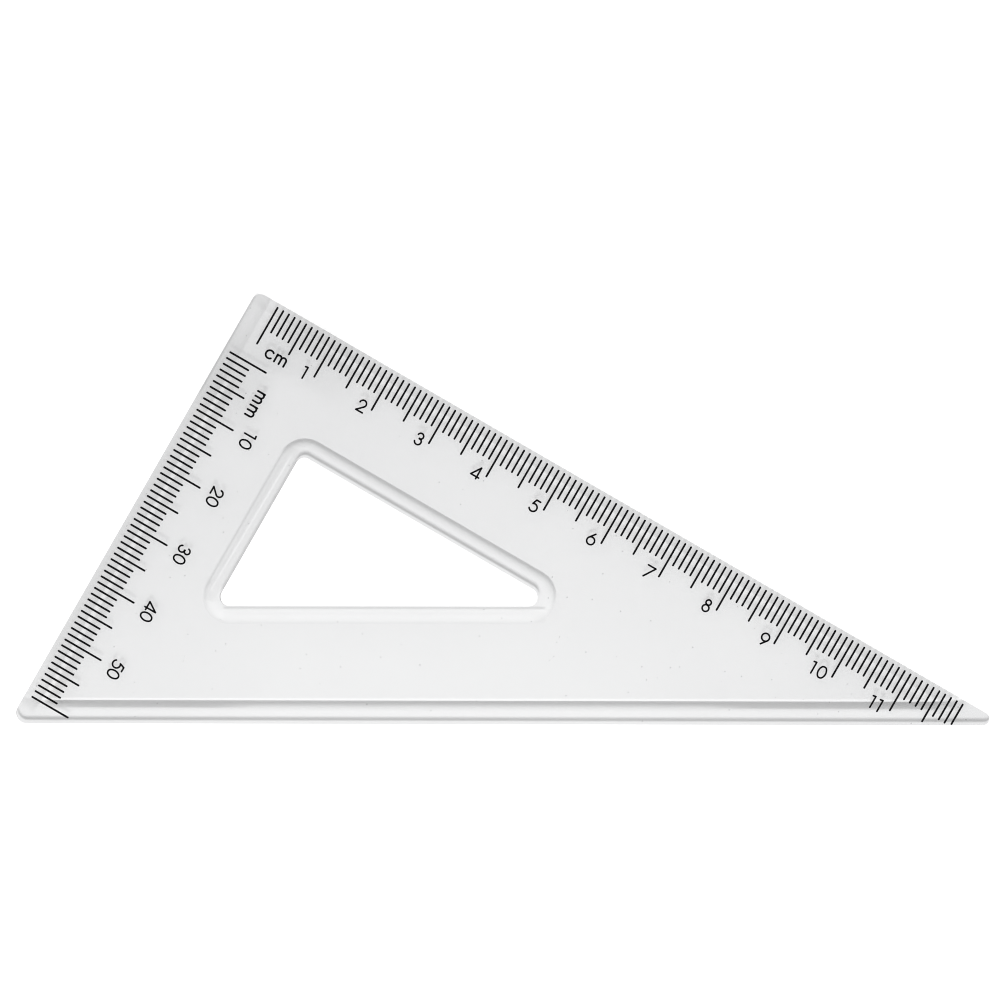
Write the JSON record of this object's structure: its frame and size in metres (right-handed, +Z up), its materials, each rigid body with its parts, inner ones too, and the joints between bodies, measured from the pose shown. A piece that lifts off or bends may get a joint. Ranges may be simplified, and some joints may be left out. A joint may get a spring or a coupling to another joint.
{
  "type": "drafting triangle",
  "caption": "Clear plastic 30-60-90 degree drafting triangle with a triangular window, thinned ruling edges, a relieved hypotenuse and scales printed along both legs.",
  "frame": {"origin": "under the middle of the plate's bounding box, on the plane the plate rests on", "axes": "+X along the long ruling edge, from the right angle to the 30 degree tip; +Y from the window to the long ruling edge, square to it, so that the short ruling edge runs from the right angle down -Y; +Z up, out of the printed face"},
  "size_m": [0.1276, 0.074, 0.0016],
  "materials": {
    "clear_plastic": "clear, polished mould finish",
    "ink": "thin printed ink"
  },
  "bodies": {
    "root": {"plate": "clear_plastic", "long_scale_tens_marks": "ink", "long_scale_fives_marks": "ink", "long_scale_ones_marks": "ink", "short_scale_tens_marks": "ink", "short_scale_fives_marks": "ink", "short_scale_ones_marks": "ink"}
  },
  "joints": []
}
